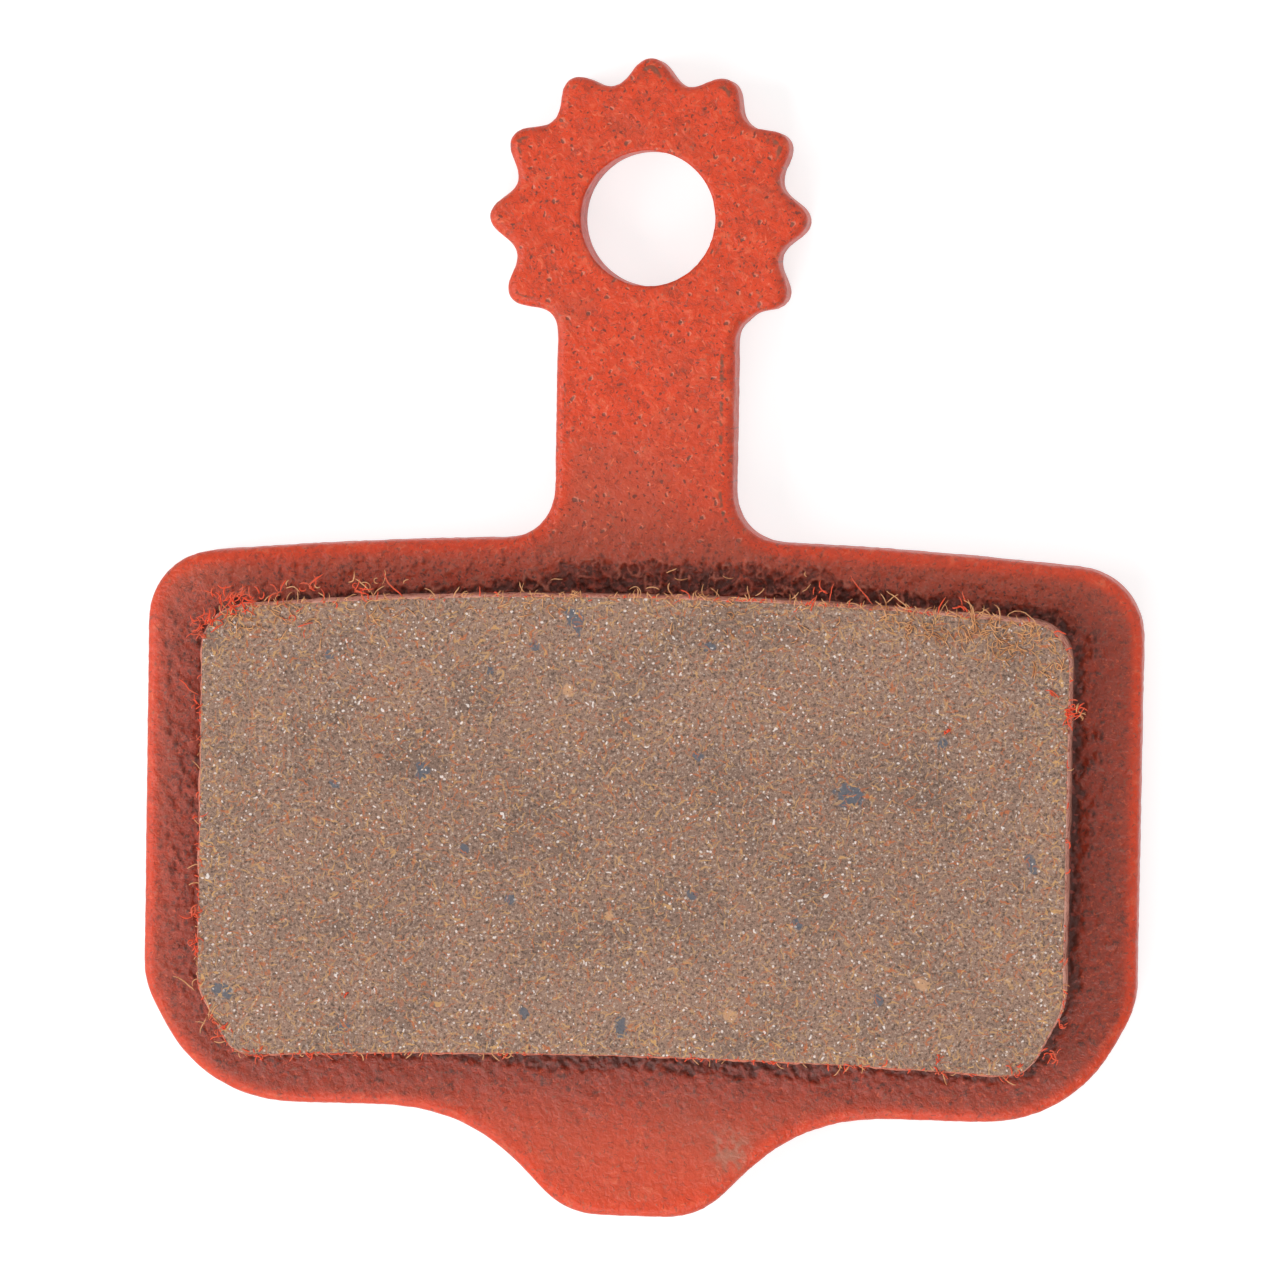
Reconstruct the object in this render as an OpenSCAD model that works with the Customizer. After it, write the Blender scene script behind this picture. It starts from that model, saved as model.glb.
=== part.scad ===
// Disc brake pad for a two-piston bicycle calliper: a punched steel backing plate
// with a toothed pin ring, and a moulded friction block bonded to its front.
//
// The pad lies on its back. The origin is the centre of the pin hole on the back
// face, +Z points from the steel to the friction face, and +Y from the friction
// block to the top tooth of the ring. Sizes are in millimetres.

/* [Backing plate] */
// Width across the two straight sides
plate_w = 30.4; // [26:0.1:36]
// Height from the crown of the top edge to the bottom edge
plate_h = 17.5; // [15:0.1:22]
// Thickness of the steel
plate_t = 1.8; // [1.2:0.1:3]
// Radius of the bowed top edge
top_bow_r = 140; // [80:1:300]
// Radius of the two top corners
top_corner_r = 2.1; // [1:0.1:3.5]
// Width of the slope that takes off each bottom corner
slope_w = 1.9; // [1:0.1:3.5]
// Height of the slope that takes off each bottom corner
slope_h = 3.6; // [2:0.1:5]
// Radius between a side and its slope
slope_top_r = 2; // [0.5:0.1:3]
// Radius between a slope and the bottom edge
slope_foot_r = 4.4; // [1:0.1:5]
// Radius of the edge that the punch rolled over, on the front
front_roll_r = 0.28; // [0.1:0.02:0.4]
// Radius of the tumbled edge on the back
back_edge_r = 0.14; // [0.06:0.02:0.3]

/* [Pin ring] */
// Diameter of the pin hole
hole_d = 4.1; // [3:0.1:5.5]
// Chamfer at the front mouth of the pin hole, where the punch went in
hole_chamfer = 0.1; // [0.05:0.05:0.3]
// Diameter over the tooth tips
ring_d = 9.74; // [9.2:0.02:12]
// Tooth pitches in a full turn
ring_pitches = 12; // [10:1:12]
// Depth of the notches between the teeth
notch_depth = 0.75; // [0.5:0.05:1]
// Radius of the tooth tips
tooth_tip_r = 0.55; // [0.45:0.05:0.65]
// Radius of the notches
notch_r = 0.62; // [0.4:0.02:0.8]

/* [Neck] */
// Distance from the pin hole's centre to the crown of the top edge
neck_l = 9.7; // [8:0.1:14]
// Width of the neck
neck_w = 5.44; // [4.4:0.02:6.2]
// Radius where the neck meets the ring's last tooth
neck_top_r = 0.6; // [0.2:0.05:0.8]
// Radius where the neck meets the plate
neck_foot_r = 1.5; // [0.5:0.1:2.5]

/* [Nose] */
// How far the nose stands below the bottom edge
nose_h = 3.2; // [2:0.1:5]
// Width where the nose's flanks would meet the bottom edge
nose_root_w = 10.3; // [9:0.1:13]
// Width where the nose's flanks would meet its tip
nose_tip_w = 4.1; // [3:0.1:6]
// Radius between the bottom edge and a flank
nose_root_r = 5.6; // [2:0.1:6]
// Radius between a flank and the tip
nose_tip_r = 2.4; // [1:0.1:3]

/* [Friction block] */
// Thickness of the friction material on the steel
block_t = 2.2; // [1:0.1:3]
// Steel left bare at each side of the block
side_margin = 2.05; // [1:0.05:4]
// Steel left bare between the top edge's crown and the block
top_margin = 1.65; // [1:0.05:4]
// Steel left bare between the block and the bottom edge, on the centre line
foot_margin = 1.95; // [1:0.05:4]
// Radius of the block's hollow bottom edge
foot_bow_r = 230; // [120:1:400]
// Radius of the block's two top corners
block_corner_r = 1.3; // [0.5:0.1:2.5]
// Width of the slope that takes off each of the block's bottom corners
block_slope_w = 1.1; // [0.8:0.1:2.5]
// Height of the slope that takes off each of the block's bottom corners
block_slope_h = 1.8; // [1:0.1:3]
// Radius at both ends of the block's slopes
block_slope_r = 1; // [0.4:0.1:1.6]
// Radius of the ground face's worn edge
block_edge_r = 0.12; // [0.06:0.02:0.3]

/* [Hidden] */

// Largest turn between two points of an arc, in degrees
arc_step = 12;
// Fewest steps in an arc, so that a long flat one still bows
arc_min = 3;
// Steps in a rolled edge
roll_steps = 3;
// The lowest tooth lies at most this far round from the top one, in degrees
last_tooth = 125;
// How far a cutter runs past the faces that it cuts
over = 1;

plate_top_y = -neck_l;
plate_foot_y = plate_top_y - plate_h;
plate_mid = [0, plate_top_y - plate_h / 2];
nose_tip_y = plate_foot_y - nose_h;
top_bow_c = [0, plate_top_y - top_bow_r];

block_x = plate_w / 2 - side_margin;
block_top_y = plate_top_y - top_margin;
block_foot_y = plate_foot_y + foot_margin;
block_mid = [0, (block_top_y + block_foot_y) / 2];
// The block's top edge has the plate's bow, and keeps its distance from it
block_bow_r = top_bow_r - top_margin;
block_bow_c = [0, block_top_y - block_bow_r];
foot_bow_c = [0, block_foot_y - foot_bow_r];

plate_colour = [0.80, 0.25, 0.16];
block_colour = [0.58, 0.47, 0.40];

function unit(v) = v / norm(v);
function left_of(v) = [-v[1], v[0]];
function turned(a) = [cos(a), sin(a)];
function bearing(v) = atan2(v[1], v[0]);

// Points of an arc about c, from the bearing a0 to a1
function arc(c, r, a0, a1) =
    let (n = max(arc_min, ceil(abs(a1 - a0) / arc_step)))
    [for (i = [0 : n]) c + r * turned(a0 + (a1 - a0) * i / n)];

// A corner at b between the lines from a and to c, rounded to radius r,
// or to as much of it as fits in these shares of the two lines
function rounded(a, b, c, r, a_share = 0.5, c_share = 0.5) =
    let (
        to_a = unit(a - b),
        to_c = unit(c - b),
        half = acos(to_a * to_c) / 2,
        reach = min(r / tan(half), a_share * norm(a - b), c_share * norm(c - b)),
        fit = reach * tan(half),
        centre = b + unit(to_a + to_c) * fit / sin(half),
        start = bearing(b + to_a * reach - centre),
        end = bearing(b + to_c * reach - centre),
        sweep = (end - start + 540) % 360 - 180
    )
    arc(centre, fit, start, start + sweep);

// A bow is a circle of radius r about a point c on the centre line.
// These give its point at x, and the centre of a corner circle that touches
// it and the upright line at x, inside the bow or outside it.
function on_bow(x, c, r) = [x, c[1] + sqrt(pow(r, 2) - pow(x, 2))];
function inside_bow(x, corner_r, c, r) = on_bow(x - corner_r, c, r - corner_r);
function outside_bow(x, corner_r, c, r) = on_bow(x + corner_r, c, r + corner_r);

// The whole outline, anticlockwise, from its right half, which runs upwards.
// A point that lies on the one before it is dropped.
function both_halves(half) =
    let (
        left = [for (i = [len(half) - 1 : -1 : 0]) [-half[i][0], half[i][1]]],
        all = concat(half, left),
        n = len(all)
    )
    [for (i = [0 : n - 1]) if (norm(all[i] - all[(i + n - 1) % n]) > 1e-3) all[i]];

// An anticlockwise outline moved in by d on every side
function inset(points, d) =
    let (n = len(points))
    [for (i = [0 : n - 1])
        let (
            before = left_of(unit(points[i] - points[(i + n - 1) % n])),
            after = left_of(unit(points[(i + 1) % n] - points[i])),
            inward = unit(before + after)
        )
        points[i] + inward * d / (inward * before)];

// Teeth and notches are arcs with common tangents, the flanks. A flank touches
// its tooth's tip flank degrees round from the tooth's middle.
tooth_pitch = 360 / ring_pitches;
side_teeth = floor(last_tooth / tooth_pitch);
tip_c_r = ring_d / 2 - tooth_tip_r;
root_r = ring_d / 2 - notch_depth;
// The notch radius at which the flanks shrink to nothing
notch_limit = (pow(tip_c_r, 2) + pow(root_r, 2) - pow(tooth_tip_r, 2)
    - 2 * tip_c_r * root_r * cos(tooth_pitch / 2))
    / (2 * (tip_c_r * cos(tooth_pitch / 2) + tooth_tip_r - root_r));
notch_fit = min(notch_r, 0.95 * notch_limit);
notch_c_r = root_r + notch_fit;
tip_to_notch = notch_c_r * turned(tooth_pitch / 2) - [tip_c_r, 0];
flank = bearing(tip_to_notch) - acos((tooth_tip_r + notch_fit) / norm(tip_to_notch));
notch_half = flank - tooth_pitch / 2;

function tooth(a, a0, a1) = arc(tip_c_r * turned(a), tooth_tip_r, a0, a1);
function notch(a) = arc(notch_c_r * turned(a), notch_fit, a + 180 + notch_half, a + 180 - notch_half);

// Where the lowest tooth's lower flank comes in to the side of the neck
lowest = 90 - side_teeth * tooth_pitch;
flank_out = turned(lowest - flank);
flank_end = tip_c_r * turned(lowest) + tooth_tip_r * flank_out;
neck_x = neck_w / 2;
armpit = [neck_x, flank_end[1] + (flank_end[0] - neck_x) * flank_out[0] / flank_out[1]];

// Right half of the plate's outline, from the nose up to the top tooth
corner_c = inside_bow(plate_w / 2, top_corner_r, top_bow_c, top_bow_r);
foot_c = outside_bow(neck_x, neck_foot_r, top_bow_c, top_bow_r);
slope_top = [plate_w / 2, plate_foot_y + slope_h];
slope_foot = [plate_w / 2 - slope_w, plate_foot_y];
nose_root = [nose_root_w / 2, plate_foot_y];
nose_tip = [nose_tip_w / 2, nose_tip_y];
half_plate = concat(
    rounded([0, nose_tip_y], nose_tip, nose_root, nose_tip_r, 1, 0.4),
    rounded(nose_tip, nose_root, slope_foot, nose_root_r, 0.6, 0.4),
    rounded(nose_root, slope_foot, slope_top, slope_foot_r, 0.6, 0.7),
    rounded(slope_foot, slope_top, [plate_w / 2, corner_c[1]], slope_top_r, 0.3, 1),
    arc(corner_c, top_corner_r, 0, bearing(corner_c - top_bow_c)),
    arc(top_bow_c, top_bow_r, bearing(corner_c - top_bow_c), bearing(foot_c - top_bow_c)),
    arc(foot_c, neck_foot_r, bearing(top_bow_c - foot_c), -180),
    rounded([neck_x, foot_c[1]], armpit, flank_end, neck_top_r, 1, 0.7),
    [for (i = [side_teeth : -1 : 1])
        let (a = 90 - i * tooth_pitch)
        each concat(tooth(a, a - flank, a + flank), notch(a + tooth_pitch / 2))],
    tooth(90, 90 - flank, 90)
);

// Right half of the friction block's outline, from the bottom up
block_corner_c = inside_bow(block_x, block_corner_r, block_bow_c, block_bow_r);
block_slope_top = [block_x, block_foot_y + block_slope_h];
block_slope_foot = on_bow(block_x - block_slope_w, foot_bow_c, foot_bow_r);
foot_bow_end = on_bow(block_slope_foot[0] - 2 * block_slope_r, foot_bow_c, foot_bow_r);
half_block = concat(
    arc(foot_bow_c, foot_bow_r, 90, bearing(foot_bow_end - foot_bow_c)),
    rounded(foot_bow_end, block_slope_foot, block_slope_top, block_slope_r),
    rounded(block_slope_foot, block_slope_top, [block_x, block_corner_c[1]], block_slope_r),
    arc(block_corner_c, block_corner_r, 0, bearing(block_corner_c - block_bow_c)),
    arc(block_bow_c, block_bow_r, bearing(block_corner_c - block_bow_c), 90)
);

// The profile of a rolled edge from the flat face to the wall, as pairs of
// how far in from the wall and how far from the flat face
function roll(r) =
    [for (i = [0 : roll_steps])
        let (a = 90 * i / roll_steps)
        r * [1 - sin(a), 1 - cos(a)]];

// A slab of an outline from z0 up, with its lower and upper edges rolled.
// Each flat face is a set of fans about hubs. A hub is a point and the y from
// which it serves, so that it sees every edge that it's joined to.
module rolled_slab(outline, z0, thick, lower_r, upper_r, hubs) {
    n = len(outline);
    levels = concat(
        [for (p = lower_r > 0 ? roll(lower_r) : [[0, 0]]) [p[0], z0 + p[1]]],
        [for (i = [roll_steps : -1 : 0]) let (p = roll(upper_r)[i]) [p[0], z0 + thick - p[1]]]
    );
    rim = (len(levels) - 1) * n;
    low_hubs = rim + n;
    high_hubs = low_hubs + len(hubs);
    points = concat(
        [for (level = levels) each [for (p = inset(outline, level[0])) [p[0], p[1], level[1]]]],
        [for (hub = hubs) [hub[0][0], hub[0][1], z0]],
        [for (hub = hubs) [hub[0][0], hub[0][1], z0 + thick]]
    );
    walls = [for (base = [0 : n : rim - 1]) for (i = [0 : n - 1])
        let (next = (i + 1) % n)
        each [
            [base + i, base + n + i, base + n + next],
            [base + i, base + n + next, base + next]
        ]];
    hub_of = [for (p = outline) max([for (k = [0 : len(hubs) - 1]) if (p[1] >= hubs[k][1]) k])];
    fans = [for (i = [0 : n - 1])
        let (next = (i + 1) % n)
        each [
            [i, next, low_hubs + hub_of[i]],
            [rim + next, rim + i, high_hubs + hub_of[i]]
        ]];
    // Where one hub takes over from the other, a triangle joins their fans
    seams = [for (i = [0 : n - 1])
        let (next = (i + 1) % n)
        if (hub_of[i] != hub_of[next])
            each [
                [low_hubs + hub_of[i], next, low_hubs + hub_of[next]],
                [high_hubs + hub_of[next], rim + next, high_hubs + hub_of[i]]
            ]];
    polyhedron(points, concat(walls, fans, seams), convexity = 6);
}

module pin_hole() {
    translate([0, 0, -over])
        cylinder(d = hole_d, h = plate_t + 2 * over, $fn = 96);
    translate([0, 0, plate_t - hole_chamfer])
        cylinder(d1 = hole_d, d2 = hole_d + 2 * (hole_chamfer + over), h = hole_chamfer + over, $fn = 96);
}

module backing_plate() {
    hubs = [[plate_mid, nose_tip_y - over], [[0, 0], -neck_l / 2]];
    color(plate_colour)
        difference() {
            rolled_slab(both_halves(half_plate), 0, plate_t, back_edge_r, front_roll_r, hubs);
            pin_hole();
        }
}

module friction_block() {
    hubs = [[block_mid, nose_tip_y]];
    color(block_colour)
        rolled_slab(both_halves(half_block), plate_t, block_t, 0, block_edge_r, hubs);
}

backing_plate();
friction_block();
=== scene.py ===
import math
import bmesh
import bpy
import numpy as np
from mathutils import Matrix, Vector, kdtree
from mathutils.geometry import delaunay_2d_cdt


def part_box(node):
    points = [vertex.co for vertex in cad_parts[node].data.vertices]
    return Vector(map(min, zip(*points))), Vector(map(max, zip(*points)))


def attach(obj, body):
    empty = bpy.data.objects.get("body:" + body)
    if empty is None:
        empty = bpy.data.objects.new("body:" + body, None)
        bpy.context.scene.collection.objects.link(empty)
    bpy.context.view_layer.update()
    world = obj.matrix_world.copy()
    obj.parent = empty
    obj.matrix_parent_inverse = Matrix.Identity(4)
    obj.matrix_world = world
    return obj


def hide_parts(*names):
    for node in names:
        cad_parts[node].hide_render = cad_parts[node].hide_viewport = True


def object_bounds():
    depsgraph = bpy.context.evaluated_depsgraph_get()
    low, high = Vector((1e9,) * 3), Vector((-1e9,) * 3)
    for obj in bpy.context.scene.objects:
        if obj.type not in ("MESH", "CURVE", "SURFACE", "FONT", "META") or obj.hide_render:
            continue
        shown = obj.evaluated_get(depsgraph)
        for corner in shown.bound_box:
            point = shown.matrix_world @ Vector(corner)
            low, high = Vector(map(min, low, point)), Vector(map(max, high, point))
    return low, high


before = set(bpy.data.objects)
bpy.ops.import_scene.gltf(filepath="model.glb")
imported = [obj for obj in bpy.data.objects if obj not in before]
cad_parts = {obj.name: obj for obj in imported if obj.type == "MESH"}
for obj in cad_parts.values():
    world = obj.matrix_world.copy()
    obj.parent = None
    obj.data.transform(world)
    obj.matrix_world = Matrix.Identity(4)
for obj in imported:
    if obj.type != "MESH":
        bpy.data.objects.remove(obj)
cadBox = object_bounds()
mm = 0.001  # the frame is in metres, and this script thinks in millimetres

plateNode = "backing_plate"
blockNode = "friction_block"
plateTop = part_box(plateNode)[1].z / mm
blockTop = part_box(blockNode)[1].z / mm


# Shapes


def unit(vectors):
    return vectors / np.linalg.norm(vectors, axis=-1, keepdims=True)


def signedArea(loop):
    after = np.roll(loop, -1, 0)
    return 0.5 * np.sum(loop[:, 0] * after[:, 1] - loop[:, 1] * after[:, 0])


def cutLoops(node, height):
    # a CAD node's closed outlines at this height: the outer one, then its holes the other way round
    shape = bmesh.new()
    shape.from_mesh(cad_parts[node].data)
    bmesh.ops.remove_doubles(shape, verts=shape.verts, dist=1e-7)
    bmesh.ops.bisect_plane(shape, geom=shape.verts[:] + shape.edges[:] + shape.faces[:],
                           plane_co=(0, 0, height * mm), plane_no=(0, 0, 1), clear_inner=True)
    rim = [e for e in shape.edges if all(abs(v.co.z - height * mm) < 1e-8 for v in e.verts)]
    beside = {}
    for edge in rim:
        for v in edge.verts:
            beside.setdefault(v, []).append(edge.other_vert(v))
    loops = []
    while beside:
        loop = [next(iter(beside))]
        onward = beside.pop(loop[-1])
        while onward:
            loop.append(onward[0])
            onward = [v for v in beside.pop(loop[-1]) if v in beside]
        loops.append(np.array([v.co.xy[:] for v in loop]) / mm)
    shape.free()
    loops.sort(key=lambda loop: -np.ptp(loop[:, 0]))
    return [loop if (signedArea(loop) > 0) == (k == 0) else loop[::-1] for k, loop in enumerate(loops)]


def smeared(values, width):
    # each value on a closed row averaged with its neighbours, about as many as width to either side
    reach = int(3 * width)
    weights = np.exp(-0.5 * (np.arange(-reach, reach + 1) / width) ** 2)
    return sum(w * np.roll(values, k - reach, 0) for k, w in enumerate(weights / weights.sum()))


smoothing = {
    "fine": 0.02,             # between the points that are smoothed, mm
    "wide": 0.38,             # for long curves
    "blunted": (0.02, 0.05),  # where the wide smoothing would blunt a tooth by this much, it fades out
    "blend": 0.2,             # over this length along the outline
    "gapStep": 0.05,          # between the points that gaps are measured from
}


def evenLoop(loop, step, soften=0.0):
    # the same outline with evenly spaced points, its facets smoothed out
    fine = smoothing["fine"]
    closed = np.vstack([loop, loop[:1]])
    along = np.append(0, np.cumsum(np.linalg.norm(np.diff(closed, axis=0), axis=1)))
    places = np.linspace(0, along[-1], int(along[-1] / fine), endpoint=False)
    points = np.stack([np.interp(places, along, closed[:, k]) for k in (0, 1)], 1)
    if soften:
        tight = smeared(points, soften / fine)
        wide = smeared(points, smoothing["wide"] / fine)
        wide = 2 * wide - smeared(wide, smoothing["wide"] / fine)  # this way it doesn't draw curves in
        little, much = smoothing["blunted"]
        share = rise(much, little, np.linalg.norm(wide - tight, axis=1))[:, None]
        points = tight + smeared(share, smoothing["blend"] / fine) * (wide - tight)
    count = int(along[-1] / step)
    return points[(np.arange(count) * len(points) / count).astype(int)]


def outward(loop):
    # unit vectors across the outline, out of the material
    ahead = unit(np.roll(loop, -1, 0) - np.roll(loop, 1, 0))
    return np.stack([ahead[:, 1], -ahead[:, 0]], 1)


def gapTo(points, *loops):
    # how far each point lies from the outlines, below 0 within the material, and the way out there
    edges = [evenLoop(loop, smoothing["gapStep"]) for loop in loops]
    edge = np.vstack(edges)
    ways = np.vstack([outward(loop) for loop in edges])
    tree = kdtree.KDTree(len(edge))
    for i, (x, y) in enumerate(edge.tolist()):
        tree.insert((x, y, 0), i)
    tree.balance()
    nearest = [tree.find((x, y, 0))[1] for x, y in points.tolist()]
    offset = points - edge[nearest]
    gap = np.linalg.norm(offset, axis=1)
    return np.where(np.sum(offset * ways[nearest], 1) > 0, gap, -gap), ways[nearest]


def lattice(low, high, step, jitter, rng):
    # scattered points about one step apart, in rows that are offset like bricks
    rowStep = 0.866 * step  # this makes even triangles
    x, y = np.meshgrid(np.arange(low[0], high[0], step), np.arange(low[1], high[1], rowStep))
    x[1::2] += step / 2
    points = np.stack([x.ravel(), y.ravel()], 1)
    return points + rng.uniform(-jitter, jitter, points.shape) * step


def hills(x, y, size, seed):
    # smooth noise from -1 to 1, with hills about as wide as size
    table = np.random.default_rng(seed).uniform(-1, 1, (256, 256))
    u, v = x / size, y / size
    i, j = np.floor(u).astype(int), np.floor(v).astype(int)
    s, t = u - i, v - j
    s, t = s * s * (3 - 2 * s), t * t * (3 - 2 * t)
    low = table[i & 255, j & 255] * (1 - s) + table[(i + 1) & 255, j & 255] * s
    high = table[i & 255, (j + 1) & 255] * (1 - s) + table[(i + 1) & 255, (j + 1) & 255] * s
    return low * (1 - t) + high * t


def wrinkles(x, y, size, seed):
    # thin winding ridges from 0 to 1, about as far apart as size
    return (1 - np.abs(hills(x, y, size, seed))) ** 3


def rise(low, high, x):
    # 0 at low and 1 at high with a soft start and end, whichever of the two is larger
    t = np.clip((x - low) / (high - low), 0, 1)
    return t * t * (3 - 2 * t)


def bump(x, middle, width):
    # 1 at the middle, and almost 0 twice the width away
    return np.exp(-((x - middle) / width) ** 2)


def rolled(radius, steps):
    # how far in and how far down each point of a rolled edge lies, from the wall to the flat
    turns = np.linspace(0, math.pi / 2, steps + 1)
    return [(radius * (1 - math.cos(a)), radius * (1 - math.sin(a))) for a in turns]


def slab(name, walls, frontPoints, backPoints):
    # a closed mesh: walls are (outline, [(inset, z), ...] from back to front)
    verts, faces, backRims, frontRims = [], [], [], []
    count = 0
    for loop, levels in walls:
        n = len(loop)
        across = outward(loop)
        for k, (inset, z) in enumerate(levels):
            verts.append(np.column_stack([loop - across * inset, np.full(n, z)]))
            if k:
                here = count + (k - 1) * n + np.arange(n)
                beside = count + (k - 1) * n + (np.arange(n) + 1) % n
                faces += np.stack([here, beside, beside + n, here + n], 1).tolist()
        backRims.append(count + np.arange(n))
        frontRims.append(count + (len(levels) - 1) * n + np.arange(n))
        count += len(levels) * n
    wallVerts = np.vstack(verts)
    levels = walls[0][1]
    for rims, points, z, turned in ((backRims, backPoints, levels[0][1], True),
                                    (frontRims, frontPoints, levels[-1][1], False)):
        ids = np.concatenate([*rims, count + np.arange(len(points))])
        flat = np.vstack([wallVerts[np.concatenate(rims), :2], points])
        starts = np.cumsum([0] + [len(rim) for rim in rims])
        edges = [(a + i, a + (i + 1) % (b - a)) for a, b in zip(starts, starts[1:]) for i in range(b - a)]
        out = delaunay_2d_cdt([Vector(p) for p in flat.tolist()], edges, [], 2, 1e-7)
        source = [first[0] for first in out[3]]
        for face in out[2]:
            corners = [source[i] for i in face]
            if all(starts[1] <= c < starts[-1] for c in corners):
                continue  # it would close the hole
            face = ids[corners].tolist()
            faces.append(face[::-1] if turned else face)
        verts.append(np.column_stack([points, np.full(len(points), z)]))
        count += len(points)
    return newMesh(name, np.vstack(verts), faces)


def newMesh(name, verts, faces):
    # a smooth mesh from points in millimetres
    mesh = bpy.data.meshes.new(name)
    mesh.from_pydata((verts * mm).tolist(), [], faces)
    mesh.polygons.foreach_set("use_smooth", np.ones(len(mesh.polygons), bool))
    mesh.update()
    return mesh


def pushOut(mesh, relief):
    # moves each point along its normal by relief(points, normals), which also returns what it marks
    points = np.empty(len(mesh.vertices) * 3, np.float32)
    normals = np.empty(len(mesh.vertices) * 3, np.float32)
    mesh.vertices.foreach_get("co", points)
    mesh.vertex_normals.foreach_get("vector", normals)
    points, normals = points.reshape(-1, 3).astype(float) / mm, normals.reshape(-1, 3)
    height, marks = relief(points, normals)
    moved = (points + normals * height[:, None]) * mm
    moved[:, 2] = np.maximum(moved[:, 2], 0)  # nothing reaches below the floor
    mesh.vertices.foreach_set("co", moved.astype(np.float32).ravel())
    for name, values in marks.items():
        mesh.attributes.new(name, "FLOAT", "POINT").data.foreach_set("value", values.astype(np.float32))
    mesh.update()


def addPiece(name, mesh, materials, replaced=None):
    # a piece of the body, in place of a CAD node if one is given
    piece = bpy.data.objects.new(name, mesh)
    bpy.context.scene.collection.objects.link(piece)
    for material in materials:
        mesh.materials.append(material)
    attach(piece, "root")
    if replaced:
        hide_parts(replaced)
    print(f"{name}: {sum(len(p.vertices) - 2 for p in mesh.polygons)} triangles")


# Materials


def linear(hexColour):
    # sRGB hex to the linear colour that a shader takes
    parts = [int(hexColour[i:i + 2], 16) / 255 for i in (1, 3, 5)]
    return [c / 12.92 if c <= 0.04045 else ((c + 0.055) / 1.055) ** 2.4 for c in parts] + [1]


def addNode(tree, kind, inputs=None, **settings):
    # inputs are plain values, or the nodes and sockets to link from
    node = tree.nodes.new("ShaderNode" + kind)
    for name, value in settings.items():
        setattr(node, name, value)
    for name, value in (inputs or {}).items():
        if isinstance(value, bpy.types.Node):
            value = next(out for out in value.outputs if out.enabled)
        if isinstance(value, bpy.types.NodeSocket):
            tree.links.new(value, node.inputs[name])
        else:
            node.inputs[name].default_value = value
    return node


def newMaterial(name):
    # the material, its empty tree and the place on the part in millimetres
    material = bpy.data.materials.new(name)
    material.use_nodes = True
    tree = material.node_tree
    tree.nodes.clear()
    spot = addNode(tree, "TexCoord").outputs["Object"]
    return material, tree, addNode(tree, "VectorMath", {0: spot, "Scale": 1 / mm}, operation="SCALE")


def coated(tree, base, coats):
    # lays colours over base in turn, from none where a value is low to a full share where it is high
    for value, low, high, share, colour in coats:
        cover = addNode(tree, "MapRange", {"Value": value, "From Min": low, "From Max": high,
                                           "To Max": share}, interpolation_type="SMOOTHSTEP")
        base = addNode(tree, "Mix", {0: cover, 6: base, 7: linear(colour)}, data_type="RGBA")
    return base


def embossed(tree, layers):
    # the normals of a relief in mm, made of layers that are each a value and its height where it is 1
    height = 0.0
    for value, tall in layers:
        height = addNode(tree, "Math", {0: value, 1: tall, 2: height}, operation="MULTIPLY_ADD")
    return addNode(tree, "Bump", {"Height": height, "Distance": mm})


def scattered(tree, place, spacing, size, share, seed):
    # marks of about this width and length, turned every way, in some of the cells: 1 within a mark
    moved = addNode(tree, "VectorMath", {0: place, 1: (seed * 7.3, seed * 3.1, 0)}, operation="ADD")
    cells = addNode(tree, "TexVoronoi", {"Vector": moved, "Scale": 1 / spacing}, voronoi_dimensions="2D")
    lots = addNode(tree, "SeparateColor", {"Color": cells.outputs["Color"]})
    angle = addNode(tree, "Math", {0: lots.outputs["Red"], 1: 2 * math.pi}, operation="MULTIPLY")
    off = addNode(tree, "VectorMath", {0: moved, 1: cells.outputs["Position"]}, operation="SUBTRACT")
    turned = addNode(tree, "VectorRotate", {"Vector": off, "Angle": angle}, rotation_type="Z_AXIS")
    scaled = addNode(tree, "VectorMath", {0: turned, 1: (2 / size[0], 2 / size[1], 0)}, operation="MULTIPLY")
    reach = addNode(tree, "VectorMath", {0: scaled}, operation="LENGTH").outputs["Value"]
    shrink = addNode(tree, "MapRange", {"Value": lots.outputs["Green"], "To Min": 0.75, "To Max": 1.7})
    bare = addNode(tree, "Math", {0: lots.outputs["Blue"], 1: share}, operation="GREATER_THAN")
    mark = addNode(tree, "Math", {0: reach, 1: shrink, 2: bare}, operation="MULTIPLY_ADD")
    return addNode(tree, "MapRange", {"Value": mark, "From Min": 1.0, "From Max": 0.5},
                   interpolation_type="SMOOTHSTEP")


resinIor = 1.5  # of the enamel and of the resin binder alike

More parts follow.
